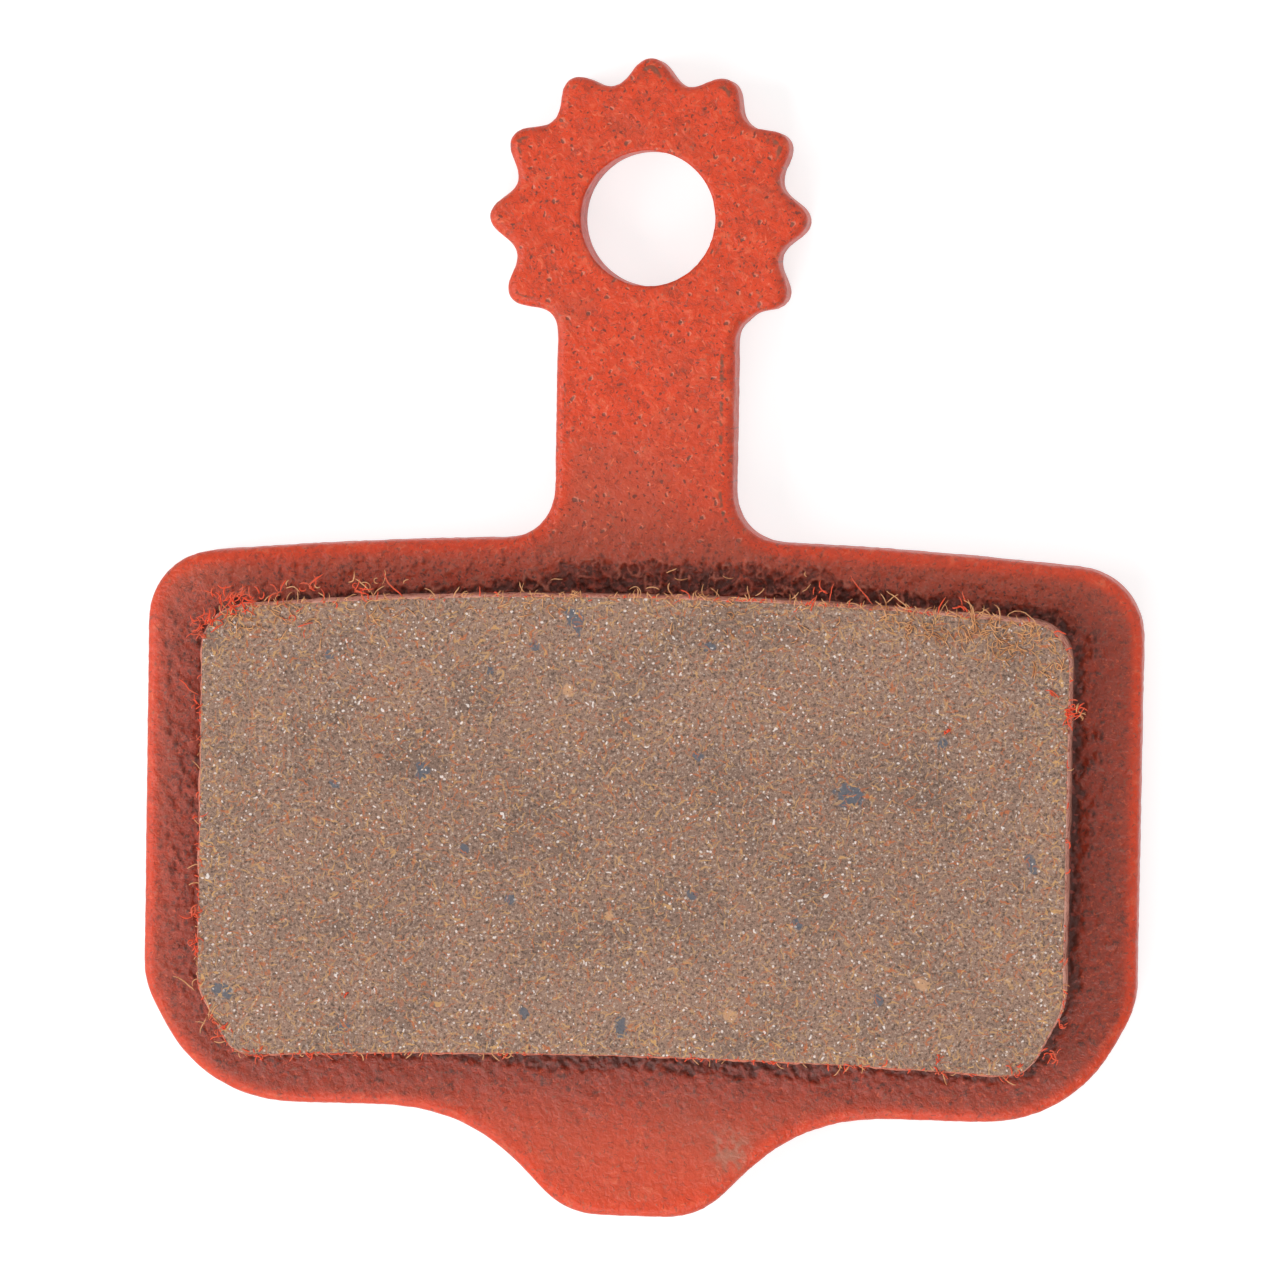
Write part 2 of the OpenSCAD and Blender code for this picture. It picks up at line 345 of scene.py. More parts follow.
paint = {
    "red": "#E4441A",
    "shadedRed": "#C33C1C",
    # a painted highlight on the peel's crests and on short hooks near the pits, and lighter specks in the
    # grit
    "highlightAndSpeckRed": "#F0704A",
    "dullRed": "#BE5238",
    # brown soiling, darkened further with painted shadow from the block
    "soiledShadedRed": "#8E3828",
    "grime": "#5A352C",
    # painted shade in the torn hollows beside the block and beside the blisters
    "creviceShade": "#52281F",
    "tornRed": "#964437",
    # a painted highlight on the torn rims, the fold crests, the blisters' lit flanks and the plate's rolled
    # edge
    "highlightPink": "#BE6E58",
    # a lighter red for painted highlights on specks where the paint crumbled
    "crumbsAndHighlights": "#B25A46",
    # painted shade along the edges of the creases
    "arcs": "#AE3C20",
    # dirt and painted shade in the burst bubbles and pinholes
    "pitDirtAndShade": "#5C3328",
    # a painted highlight on the wall of each burst bubble that faces the light
    "pitLipHighlight": "#E88468",
    "specks": "#8A6450",
    "scuffed": "#A38A74",
    "rubbed": "#6E4C38",
    "peelSize": 0.34,   # orange peel from crest to crest, mm
    "gritSize": 0.16,   # overspray and dust on the paint, mm
    "roughness": (0.28, 0.56),
    "clouds": 0.6,      # of each noise to a mm
    "creases": 4.2,
    "sway": 6.0,
    "swing": (0.16, 0.16, 0.0),  # how far the sway bends the marks, mm
    "relief": (-0.045, -0.035, 0.03, 0.10),  # of the peel, the creases, the grit and the crumbs, mm
    # marks: spacing, width and length in mm, the share of the places that have one, and a seed
    "burst": (0.60, (0.12, 0.18), 0.42, 1),
    "lipHighlights": (0.60, (0.14, 0.20), 0.42, 1),  # a painted highlight at the rims of the burst bubbles
    "pinholes": (0.24, (0.07, 0.12), 0.50, 2),
    # short strokes of painted highlight near the pits
    "highlightHooks": (0.40, (0.055, 0.22), 0.45, 3),
    "scratches": (0.28, (0.05, 0.18), 0.50, 4),
    "scraps": (0.24, (0.14, 0.28), 0.80, 5),
    # pale specks that are painted highlights
    "highlightCurls": (0.20, (0.055, 0.20), 0.75, 6),
    "dents": (0.18, (0.08, 0.14), 0.80, 7),
}


def sprayedEnamel():
    # Sprayed and baked enamel on shot-blasted steel: semi-gloss, with orange peel under painted highlights
    # and shade, burst bubbles that hold dirt and painted shade, with a painted highlight on their lips, brown
    # soiling with painted shadow beside the block, and torn rims with painted highlights over painted shade
    # in the hollows where the paint pulled away from the block.
    material, tree, place = newMaterial("sprayedEnamel")
    pitted, dull, soilAndShade, rough, hollowShade, rim, rub, scuff = (
        addNode(tree, "Attribute", attribute_name=name).outputs["Fac"]
        for name in ("pitted", "dull", "soilAndShade", "rough", "hollowShade", "rim", "rub", "scuff"))
    moved = addNode(tree, "VectorMath", {0: place, 1: (31.0, 17.0, 5.0)}, operation="ADD")
    clouds = addNode(tree, "TexNoise", {"Vector": place, "Scale": paint["clouds"],
                                        "Detail": 4.0}).outputs["Fac"]
    peel = addNode(tree, "TexNoise", {"Vector": place, "Scale": 1 / paint["peelSize"], "Detail": 3.0,
                                      "Roughness": 0.6, "Distortion": 0.6}).outputs["Fac"]
    grit = addNode(tree, "TexNoise", {"Vector": place, "Scale": 1 / paint["gritSize"], "Detail": 3.0,
                                      "Roughness": 0.7}).outputs["Fac"]
    dust = addNode(tree, "TexNoise", {"Vector": moved, "Scale": 0.6 / paint["gritSize"], "Detail": 5.0,
                                      "Roughness": 0.75}).outputs["Fac"]
    creases = addNode(tree, "TexNoise", {"Vector": moved, "Scale": paint["creases"], "Detail": 3.0,
                                         "Distortion": 1.0}).outputs["Fac"]
    # short arcs of painted shade along the edges of the creases, which taper off where the peel is low
    width = addNode(tree, "MapRange", {"Value": peel, "From Min": 0.46, "From Max": 0.62, "To Max": 0.032})
    arcs = addNode(tree, "Math", {0: creases, 1: 0.5, 2: width}, operation="COMPARE")
    sway = addNode(tree, "TexNoise", {"Vector": place, "Scale": paint["sway"]}).outputs["Color"]
    bent = addNode(tree, "VectorMath", {0: sway, 1: paint["swing"], 2: place}, operation="MULTIPLY_ADD")
    # shifted up and right, so that a painted highlight lies on the far wall of each bubble, which faces the
    # light
    beside = addNode(tree, "VectorMath", {0: bent, 1: (-0.04, -0.03, 0.0)}, operation="ADD")
    lipHighlights = scattered(tree, beside, *paint["lipHighlights"])
    burst, pinholes, highlightHooks, scratches, scraps, highlightCurls, dents = (
        scattered(tree, bent, *paint[name])
        for name in ("burst", "pinholes", "highlightHooks", "scratches", "scraps", "highlightCurls", "dents"))
    base = coated(tree, linear(paint["red"]), (
        # painted shade in the hollows of the peel and a painted highlight on its crests
        (peel, 0.52, 0.70, 0.70, paint["shadedRed"]),
        (peel, 0.46, 0.30, 0.55, paint["highlightAndSpeckRed"]),
        (clouds, 0.52, 0.72, 0.35, paint["dullRed"]),
        (dull, 0.0, 1.0, 0.95, paint["dullRed"]),
        # brown soiling with painted shadow from the block
        (soilAndShade, 0.0, 1.0, 0.85, paint["soiledShadedRed"]),
        (grit, 0.58, 0.68, 0.50, paint["specks"]),
        (grit, 0.42, 0.32, 0.40, paint["highlightAndSpeckRed"]),
        (dust, 0.58, 0.68, 0.30, paint["grime"]),
        (dust, 0.52, 0.64, soilAndShade, paint["grime"]),
        # painted shade on the creases and along their edges
        (creases, 0.50, 0.62, 0.30, paint["shadedRed"]),
        (arcs, 0.0, 1.0, pitted, paint["arcs"]),
        (dents, 0.0, 1.0, rough, paint["grime"]),
        # painted highlights on pale specks where the paint crumbled
        (highlightCurls, 0.0, 1.0, rough, paint["crumbsAndHighlights"]),
        # a painted highlight in short hooks near the pits
        (highlightHooks, 0.0, 1.0, pitted, paint["highlightAndSpeckRed"]),
        (scratches, 0.0, 1.0, 0.45, paint["grime"]),
        # a painted highlight on the bubbles' lit walls, under their dark centres
        (lipHighlights, 0.0, 1.0, pitted, paint["pitLipHighlight"]),
        # dirt and painted shade in the bubbles and pinholes
        (burst, 0.0, 1.0, pitted, paint["pitDirtAndShade"]),
        (pinholes, 0.0, 1.0, pitted, paint["pitDirtAndShade"]),
        # painted shade in the torn hollows and on the blisters' shaded flanks, with red scraps of torn paint
        # in it
        (hollowShade, 0.0, 0.9, 0.92, paint["creviceShade"]),
        (scraps, 0.0, 1.0, hollowShade, paint["tornRed"]),
        # a painted highlight on the torn rims and fold crests
        (rim, 0.1, 0.8, 0.75, paint["highlightPink"]),
        (scuff, 0.0, 0.9, 0.42, paint["scuffed"]),
        (rub, 0.3, 0.8, 0.75, paint["rubbed"])))
    crumbsAndHighlights = addNode(tree, "Math", {0: dust, 1: rough}, operation="MULTIPLY")
    normal = embossed(tree, zip((peel, creases, grit, crumbsAndHighlights), paint["relief"]))
    gloss = addNode(tree, "MapRange", {"Value": dust, "From Min": 0.3, "From Max": 0.75,
                                       "To Min": paint["roughness"][0], "To Max": paint["roughness"][1]})
    shader = addNode(tree, "BsdfPrincipled", {"Base Color": base, "Roughness": gloss, "IOR": resinIor,
                                              "Normal": normal})
    addNode(tree, "OutputMaterial", {"Surface": shader})
    return material


friction = {
    "resin": "#A9816A",
    "resinGrey": "#8E7466",
    "darkGrain": "#4E3C33",
    "paleGrain": "#DCC4B2",
    "copper": "#C06A3C",
    "brass": "#D09E66",
    "graphite": "#59606B",
    "tan": "#D2A078",
    # white for painted glints
    "glintWhite": "#F6E8E0",
    "grainSize": 0.08,     # mm, the ground powder is finer, but this is as coarse as it needs to show
    "wire": (0.06, 0.42),  # width and length of a wire that shows in the face, mm
    # layers of wire, from the bottom up: spacing, share of the places, how bright and which metal
    "layers": [(0.32, 0.9, 0.40, "copper"), (0.36, 0.9, 0.45, "brass"), (0.40, 0.7, 0.60, "copper"),
               (0.38, 0.7, 0.50, "brass"), (0.52, 0.5, 0.80, "copper"), (0.46, 0.5, 0.75, "brass")],
    # marks: spacing, width and length in mm, the share of the places that have one, and a seed
    "grit": (0.17, (0.07, 0.09), 0.5, 11),
    "fringe": (0.30, (0.055, 0.36), 0.9, 12),
    "flecks": (0.42, (0.10, 0.16), 0.25, 13),
    "glints": (0.20, (0.075, 0.10), 0.42, 14),
    "crystalGlints": (0.55, (0.08, 0.10), 0.35, 15),
    "clouds": 0.45,        # of each noise to a mm
    "flock": 1.6,
    "sway": 3.5,
    "swing": (0.35, 0.35, 0.0),
    "relief": 0.035,
    "roughness": 0.72,
}


def groundFrictionCompound():
    # Resin-bonded friction compound, moulded and ground flat: matte heathered brown, fine grained, with
    # copper and brass wire cut through, grey graphite patches, white specks painted as glints, and painted
    # shade in the middle.
    material, tree, place = newMaterial("groundFrictionCompound")
    edge, middleShade, graphite, tan = (addNode(tree, "Attribute", attribute_name=name).outputs["Fac"]
                                 for name in ("edge", "middleShade", "graphite", "tan"))
    clouds = addNode(tree, "TexNoise", {"Vector": place, "Scale": friction["clouds"], "Detail": 5.0,
                                        "Roughness": 0.65}).outputs["Fac"]
    grain = addNode(tree, "TexNoise", {"Vector": place, "Scale": 0.72 / friction["grainSize"], "Detail": 2.0,
                                       "Roughness": 0.8}).outputs["Fac"]
    flock = addNode(tree, "TexNoise", {"Vector": place, "Scale": friction["flock"],
                                       "Detail": 3.0}).outputs["Fac"]
    clusters = addNode(tree, "MapRange", {"Value": flock, "From Min": 0.42, "From Max": 0.62, "To Min": 0.2,
                                          "To Max": 0.8})
    sway = addNode(tree, "TexNoise", {"Vector": place, "Scale": friction["sway"]}).outputs["Color"]
    bent = addNode(tree, "VectorMath", {0: sway, 1: friction["swing"], 2: place}, operation="MULTIPLY_ADD")
    base = addNode(tree, "Mix", {0: clouds, 6: linear(friction["resin"]), 7: linear(friction["resinGrey"])},
                   data_type="RGBA")
    base = coated(tree, base, (
        (clouds, 0.48, 0.66, 0.25, friction["darkGrain"]),
        # painted shade in the middle of the face
        (middleShade, 0.0, 1.0, 0.14, friction["darkGrain"]),
        (grain, 0.50, 0.32, 0.85, friction["darkGrain"]),
        (grain, 0.54, 0.72, 0.75, friction["paleGrain"]),
        (graphite, 0.1, 0.7, 0.82, friction["graphite"]),
        (tan, 0.1, 0.7, 0.75, friction["tan"])))
    for seed, (spacing, share, strength, metal) in enumerate(friction["layers"]):
        wire = scattered(tree, bent, spacing, friction["wire"], share, seed)
        base = coated(tree, base, [(wire, 0.0, 1.0, strength, friction[metal])])
    grit, glints = (scattered(tree, place, *friction[name]) for name in ("grit", "glints"))
    fringe, flecks, crystalGlints = (scattered(tree, bent, *friction[name])
                                for name in ("fringe", "flecks", "crystalGlints"))
    base = coated(tree, base, (
        (grit, 0.0, 1.0, 0.60, friction["darkGrain"]),
        (fringe, 0.0, 1.0, edge, friction["brass"]),
        (flecks, 0.0, 1.0, 0.55, friction["copper"]),
        # painted glints in clusters, and larger ones
        (glints, 0.0, 1.0, clusters, friction["glintWhite"]),
        (crystalGlints, 0.0, 1.0, 0.85, friction["glintWhite"])))
    normal = embossed(tree, [(grain, friction["relief"])])
    shader = addNode(tree, "BsdfPrincipled", {"Base Color": base, "Roughness": friction["roughness"],
                                              "IOR": resinIor, "Normal": normal})
    addNode(tree, "OutputMaterial", {"Surface": shader})
    return material


overspray = {
    "thin": "#A85540",
    "thick": "#D9775A",
    # a painted sheen
    "paleSheen": "#F4B5A0",
    "grit": 5.0,        # of the noise to a mm
    "shaded": 0.9,      # from this far below the friction face it darkens towards the plate with painted shade, mm
    "relief": 0.08,
    "roughness": 0.6,
}


def oversprayedCompound():
    # The block's moulded walls under a thin dry coat of the plate's enamel: rough and dull, with a painted
    # sheen on the block's right and top sides and painted shade towards the plate.
    material, tree, place = newMaterial("oversprayedCompound")
    paleSheen = addNode(tree, "Attribute", attribute_name="paleSheen").outputs["Fac"]
    grit = addNode(tree, "TexNoise", {"Vector": place, "Scale": overspray["grit"], "Detail": 4.0,
                                      "Roughness": 0.7}).outputs["Fac"]
    height = addNode(tree, "SeparateXYZ", {"Vector": place}).outputs["Z"]
    base = coated(tree, linear(overspray["thin"]), (
        (grit, 0.38, 0.55, 0.8, overspray["thick"]),
        # a painted sheen on the walls that face right and up
        (grit, 0.36, 0.54, paleSheen, overspray["paleSheen"]),
        # painted shade towards the plate
        (height, blockTop - overspray["shaded"], plateTop, 0.6, paint["creviceShade"])))
    normal = embossed(tree, [(grit, overspray["relief"])])
    shader = addNode(tree, "BsdfPrincipled", {"Base Color": base, "Roughness": overspray["roughness"],
                                              "IOR": resinIor, "Normal": normal})
    addNode(tree, "OutputMaterial", {"Surface": shader})
    return material


def choppedWire(name, clean, stained, roughness, metallic):
    # Chopped drawn wire, bare or under paint: thin bright curls, stained here and there.
    material, tree, place = newMaterial(name)
    stain = addNode(tree, "TexNoise", {"Vector": place, "Scale": 3.0, "Detail": 2.0}).outputs["Fac"]
    base = coated(tree, linear(clean), [(stain, 0.45, 0.65, 1.0, stained)])
    shader = addNode(tree, "BsdfPrincipled", {"Base Color": base, "Roughness": roughness,
                                              "Metallic": metallic})
    addNode(tree, "OutputMaterial", {"Surface": shader})
    return material


# The backing plate

plate = {
    "fineStep": 0.052,     # between points beside the block, mm
    "step": 0.085,         # on the rest of the front
    "hiddenStep": 0.7,     # under the block and on the back
    "fineReach": 1.15,     # from the block
    "seam": 0.03,          # between the fine points and the rest
    "tuckedIn": 0.2,       # how far under the block the fine points go
    "hiddenFrom": 0.4,     # how far under it the hidden ones start
    "margin": 0.6,         # least gap from an edge, over the step
    "jitter": (0.2, 0.2, 0.1),  # of the fine, plain and hidden points, over their steps
    "soften": 0.10,        # of the outline's corners, mm
    "frontRoll": 0.28,     # rolled over by the punch
    "backRoll": 0.14,
    "holeRoll": 0.10,
    "peel": 0.016,         # height of the orange peel
    "wallRows": 7,         # rows of points up the outer wall, with those at its two ends
    "holeRows": 8,         # and up the pin hole
    "wallWaves": 0.012,    # height of the waves on the walls
    # how far the torn paint reaches: from the block's top and bottom for places across, and its sides
    "across": (-12.6, -5.0, -3.2, -2.2, 5.2, 6.4, 12.0, 13.2),
    "tornTop": (0.22, 0.30, 0.55, 1.0, 0.98, 0.52, 0.44, 0.36),
    "tornBottom": (0.35, 0.40, 0.66, 0.70, 0.72, 0.55, 0.42, 0.38),
    "tornRight": 0.36,
    "tornLeft": 0.50,
    "tornDrop": 0.05,
    "tornLip": 0.03,
    "tornEdge": (0.06, -0.08),
    "foldHeight": 0.13,
    "crumpleHeight": 0.035,
    "ridgeHeight": 0.04,
    "crumbHeight": 0.055,
    # the torn edge's discs: spacing, shares of the reach, half widths over it, and the widest reach
    "lobes": (0.13, (0.65, 1.1), (0.3, 0.7), 0.5),
    "band": 0.55,          # how much of the reach is bare between the discs
    # for the block's right, top, left and bottom sides
    "folds": (0.15, 1.0, 0.4, 0.4),
    # how strong the painted shade in the torn hollows is
    "hollowShadeDepth": (0.95, 0.95, 0.66, 1.05),
    # brown soiling with painted shadow from the block: how far it reaches and how deep it is
    "soilAndShadeReach": (3.2, 1.3, 2.0, 2.1),
    "soilAndShadeDepth": (1.0, 0.65, 1.05, 1.05),
    "crumbled": (0.35, 1.0, 0.8, 0.35),
    "dullReach": (5.5, 4.4, 5.5, 5.1),
    # blisters: low and high corners of their field, how many, half width and length, height, and the strength
    # of the painted shade beside each
    "blisters": [((-14.7, -20.5), (-13.5, -12.2), 56, 0.08, 0.13, 0.055, 0.8),
                 ((-14.4, -24.5), (-13.4, -20.0), 22, 0.07, 0.11, 0.045, 0.7),
                 ((13.62, -19.6), (13.95, -12.2), 20, 0.09, 0.10, 0.12, 0.9),
                 ((-12.0, -11.2), (-4.0, -10.4), 34, 0.07, 0.08, 0.035, 0.65),
                 ((-4.5, -10.6), (5.5, -9.7), 50, 0.07, 0.08, 0.035, 0.65)],
    # across, up and radius, and how far the first one swells
    "blob": (2.95, -2.95, 0.45, 0.16),    # paint that ran into the corner under the ring
    "scuff": (3.0, -28.3, 0.70),          # a brushed patch on the nose
    "rubs": [(0.1, 4.55, 0.45), (-2.5, 4.0, 0.3), (2.5, 4.0, 0.45), (3.95, 2.3, 0.5), (-4.0, 2.3, 0.4),
             (-4.7, 0.2, 0.25), (4.7, -0.2, 0.25), (-14.7, -11.25, 0.3)],
    # smudges: their gap from the edge and their width, and the heights between which the first fade in
    "smudges": (0.30, 0.06, -9.0, -7.0),
    "neckSmudges": (0.38, 0.07),
    "toothSmudges": (0.32, 0.08),
    "pitted": (-11.2, -9.2, 0.75),        # the heights between which pits fade in, and how much they show
    "seed": 11,
}

plateOutline, holeOutline = cutLoops(plateNode, plateTop / 2)
blockOutline = cutLoops(blockNode, (plateTop + blockTop) / 2)[0]


def bySide(way, sides):
    # blends the values given for the block's right, top, left and bottom sides
    facing = np.array([way[:, 0], way[:, 1], -way[:, 0], -way[:, 1]])
    return sum(value * part for value, part in zip(sides, np.clip(facing, 0, None) ** 2))


def tornReach(points, way):
    # how far the torn paint reaches from the block there
    top, bottom = (np.interp(points[:, 0], plate["across"], plate[name])
                   for name in ("tornTop", "tornBottom"))
    return bySide(way, (plate["tornRight"], top, plate["tornLeft"], bottom))


def shoreline(flat, gap, way, rng):
    # how far outside the torn edge of the paint each point lies: a band with a row of discs along it
    spacing, reaches, widths, widest = plate["lobes"]
    foot = evenLoop(blockOutline, spacing)
    across = outward(foot)
    reach = tornReach(foot, across) * rng.uniform(*reaches, len(foot))
    radii = rng.uniform(*widths, len(foot)) * np.minimum(reach, widest)
    centres = foot + across * (reach - radii)[:, None]
    shore = gap - plate["band"] * tornReach(flat, way)
    near = np.flatnonzero((gap > -0.3) & (gap < 1.6))
    for ids in np.array_split(near, 40):  # in small lots, to spare memory
        lobes = np.linalg.norm(flat[ids, None] - centres, axis=2) - radii
        shore[ids] = np.minimum(shore[ids], lobes.min(1))
    return shore


def plateRelief(points, normals):
    x, y = points[:, 0], points[:, 1]
    flat = points[:, :2]
    face = np.clip(normals[:, 2], 0, 1)
    rng = np.random.default_rng(plate["seed"])
    gap, way = gapTo(flat, blockOutline)
    edgeGap = -gapTo(flat, plateOutline, holeOutline)[0]
    inked = (gap > 0) * face
    height = plate["peel"] * (hills(x, y, 0.5, 1) + 0.6 * hills(x, y, 0.24, 2) + 0.5 * hills(x, y, 1.6, 3))
    # the paint pulled away from the block and left a torn edge, with crumpled folds below it
    shore = shoreline(flat, gap, way, rng) + 0.10 * hills(x, y, 0.28, 16) + 0.06 * hills(x, y, 0.13, 7)
    inside = rise(*plate["tornEdge"], shore)
    folded = bySide(way, plate["folds"])
    sway = 0.09 * hills(x, y, 0.22, 21)
    fold = np.maximum(wrinkles(x * 1.3 + sway, y * 0.8, 0.34, 5), 0.85 * wrinkles(x * 1.1, y + sway, 0.20, 6))
    fold = rise(0.35, 0.95, fold) * folded
    lip = bump(shore, 0.03, 0.05) * rise(-0.1, 0.7, hills(x, y, 0.32, 8)) * folded
    height += plate["tornLip"] * lip - plate["tornDrop"] * inside + plate["foldHeight"] * fold * inside
    # painted shade in the hollows, darkest beside the block and weaker on the crests of the folds
    deep = 0.56 + 0.44 * rise(1.0, 0.15, gap / tornReach(flat, way))
    crumple = hills(x + sway, y - sway, 0.15, 12)
    height -= plate["crumpleHeight"] * inside * crumple
    hollowShade = 0.95 - 0.6 * fold + 0.3 * crumple + 0.15 * hills(x, y, 0.4, 17)
    hollowShade *= inside * deep * bySide(way, plate["hollowShadeDepth"])
    # a painted highlight on the torn lip and on the crests of the folds
    rim = np.maximum(0.6 * lip, 0.8 * fold * inside * rise(-0.5, 0.4, hills(x, y, 0.45, 9)))
    # it also rose in blisters, each with a painted highlight on its left flank and painted shade to its right
    for low, high, count, wide, tall, lift, dark in plate["blisters"]:
        for cx, cy, grown in rng.uniform((*low, 0.5), (*high, 1.3), (count, 3)):
            dx, dy = (x - cx) / (wide * grown), (y - cy) / (tall * grown)
            blister = np.exp(-dx ** 2 - dy ** 2)
            height += lift * grown * blister
            rim = np.maximum(rim, 0.22 * np.exp(-((dx + 0.6) / 0.4) ** 2 - dy ** 2))
            shade = dark * np.exp(-((dx - 1.0) / 0.6) ** 2 - dy ** 2)
            hollowShade = np.maximum(hollowShade * (1 - 0.85 * blister), shade)
    # a painted highlight along the plate's rolled edge
    rim = np.maximum(rim, 0.4 * bump(edgeGap, 0.06, 0.08) * rise(-0.4, 0.6, hills(x, y, 1.1, 15)))
    cx, cy, radius = plate["scuff"]
    scuff = bump(np.hypot(x - cx, y - cy), 0, radius) * rise(-0.7, 0.3, hills(x * 1.5, y, 0.14, 18))
    # brown soiling beside the block with its painted shadow, most on its right, where the shadow falls
    away = np.clip(gap, 0, None) / bySide(way, plate["soilAndShadeReach"])
    soilAndShade = bySide(way, plate["soilAndShadeDepth"]) * np.exp(-away ** 1.6) * rise(0.0, 0.5, edgeGap)
    rough = bySide(way, plate["crumbled"]) * np.exp(-away ** 2) * rise(0.1, 0.5, edgeGap)
    height += plate["crumbHeight"] * rough * (hills(x, y, 0.24, 19) + 0.7 * hills(x, y, 0.13, 20))
    height += plate["ridgeHeight"] * rough * fold * (1 - inside)
    # a painted highlight on the crests of the folds where the paint crumbled
    rim = np.maximum(rim, 0.5 * rough * fold * (1 - inside))
    # darker and duller towards the block, and in broad patches
    dull = 0.9 * np.exp(-(gap / bySide(way, plate["dullReach"])) ** 2) + 0.25 * hills(x, y, 1.8, 10)
    dull = np.clip(dull, 0, 1) * rise(0.1, 0.7, edgeGap)
    # fingers left brown smudges at the tips of the teeth and along the edges
    line, width, low, high = plate["smudges"]
    rub = 0.7 * bump(edgeGap, line, width) * rise(-0.2, 0.5, hills(x, y, 0.9, 11)) * rise(low, high, y)
    neck = rise(-3.2, -4.2, y) * rise(-10.0, -9.0, y) * rise(-4.0, 4.0, x)  # most on its right
    rub = np.maximum(rub, 1.1 * neck * bump(edgeGap, *plate["neckSmudges"]))
    for cx, cy, radius in plate["rubs"]:
        spot = bump(np.hypot(x - cx, y - cy), 0, radius)
        rub = np.maximum(rub, spot * np.maximum(0.45, 1.3 * bump(edgeGap, *plate["toothSmudges"])))
    rub *= rise(-0.6, 0.3, hills(x, y, 0.12, 14))
    wall = plate["wallWaves"] * hills(x * 2 + y * 2, points[:, 2] * 0.3, 0.3, 13)
    cx, cy, radius, swell = plate["blob"]
    wall += swell * bump(np.hypot(x - cx, y - cy), 0, radius)
    low, high, pits = plate["pitted"]
    pitted = pits * rise(low, high, y) * face
    front = rise(-0.2, 0.2, normals[:, 2])  # the back stayed clean
    marks = {"pitted": pitted, "dull": dull * front, "soilAndShade": soilAndShade * front, "rough": rough * front,
             "hollowShade": hollowShade * inked, "rim": rim * inked, "rub": rub * face, "scuff": scuff * face}
    return height * np.where(gap > 0, face, 0) + wall * (1 - np.abs(normals[:, 2])), marks


def paintedPlate():
    rng = np.random.default_rng(plate["seed"])
    outer = evenLoop(plateOutline, plate["step"], plate["soften"])
    hole = evenLoop(holeOutline, plate["step"], plate["soften"])
    bareWall = np.linspace(plate["backRoll"], plateTop - plate["frontRoll"], plate["wallRows"])[1:-1]
    outerLevels = rolled(plate["backRoll"], 2)[::-1] + [(0, z) for z in bareWall]
    outerLevels += [(inset, plateTop - down) for inset, down in rolled(plate["frontRoll"], 5)]
    holeLevels = [(0, z) for z in np.linspace(0, plateTop - plate["holeRoll"], plate["holeRows"])[:-1]]
    holeLevels += [(inset, plateTop - down) for inset, down in rolled(plate["holeRoll"], 3)]
    low, high = outer.min(0), outer.max(0)
    parts = []
    for step, jitter in zip((plate["fineStep"], plate["step"], plate["hiddenStep"]), plate["jitter"]):
        points = lattice(low, high, step, jitter, rng)
        edgeGap = -gapTo(points, outer)[0]
        holeGap = np.linalg.norm(points, axis=1) - np.linalg.norm(hole, axis=1).mean()
        margin = plate["margin"] * step
        points = points[(edgeGap > plate["frontRoll"] + margin) & (holeGap > plate["holeRoll"] + margin)]
        parts.append((points, gapTo(points, blockOutline)[0]))
    (fine, fineGap), (coarse, coarseGap), (wide, wideGap) = parts
    reach = plate["fineReach"]
    front = np.vstack([fine[(fineGap > -plate["tuckedIn"]) & (fineGap < reach)],
                       coarse[coarseGap > reach + plate["seam"]], wide[wideGap < -plate["hiddenFrom"]]])
    mesh = slab("paintedPlate", [(outer, outerLevels), (hole, holeLevels)], front, wide)
    pushOut(mesh, plateRelief)
    addPiece("paintedPlate", mesh, [sprayedEnamel()], plateNode)


paintedPlate()

# The friction block

block = {
    "step": 0.08,       # between points, mm
    "soften": 0.06,
    "edgeRoll": 0.10,
    "wallRows": 14,     # rows of points up the wall, with those at its two ends
    "jitter": 0.2,      # of the points on the face, over their step
    "margin": 0.6,      # least gap from the edge, over the step
    "sunk": 0.2,        # into the plate, so that no gap opens under it where the paint is torn
    "grit": 0.007,      # height of the grain on the face
    "ragged": 0.035,    # and of the moulded walls' roughness
    "paleSheen": (0.85, 0.85, 0.25, 0.1),  # painted sheen on the overspray on its right, top, left and bottom sides
    # across, up, half its width and its height over its width
    "graphite": [(-1.75, -12.1, 0.24, 1.6), (-3.0, -12.9, 0.14, 1.4), (-4.3, -13.7, 0.10, 1.6),
                 (2.3, -12.8, 0.2, 0.7), (-6.3, -16.8, 0.22, 1.3), (-5.0, -19.1, 0.16, 1.0),
                 (-3.6, -20.6, 0.18, 1.0), (1.9, -20.3, 0.15, 1.2), (6.6, -17.2, 0.42, 1.0),
                 (12.1, -19.1, 0.16, 2.0), (5.1, -21.1, 0.16, 1.0), (-0.2, -24.3, 0.18, 1.8),
                 (-3.1, -24.0, 0.18, 0.8), (-12.3, -23.6, 0.28, 0.8), (9.4, -15.6, 0.16, 1.2),
                 (7.6, -23.3, 0.15, 1.0), (2.0, -16.1, 0.2, 0.6), (-9.0, -17.2, 0.14, 1.0),
                 (-9.2, -13.3, 0.14, 1.2), (-8.6, -24.6, 0.18, 0.8)],
    "tan": [(-1.9, -14.2, 0.16, 1.4), (3.1, -23.9, 0.22, 0.8), (-0.6, -21.0, 0.12, 1.0),
            (8.9, -22.8, 0.25, 0.7)],
    "seed": 23,
}


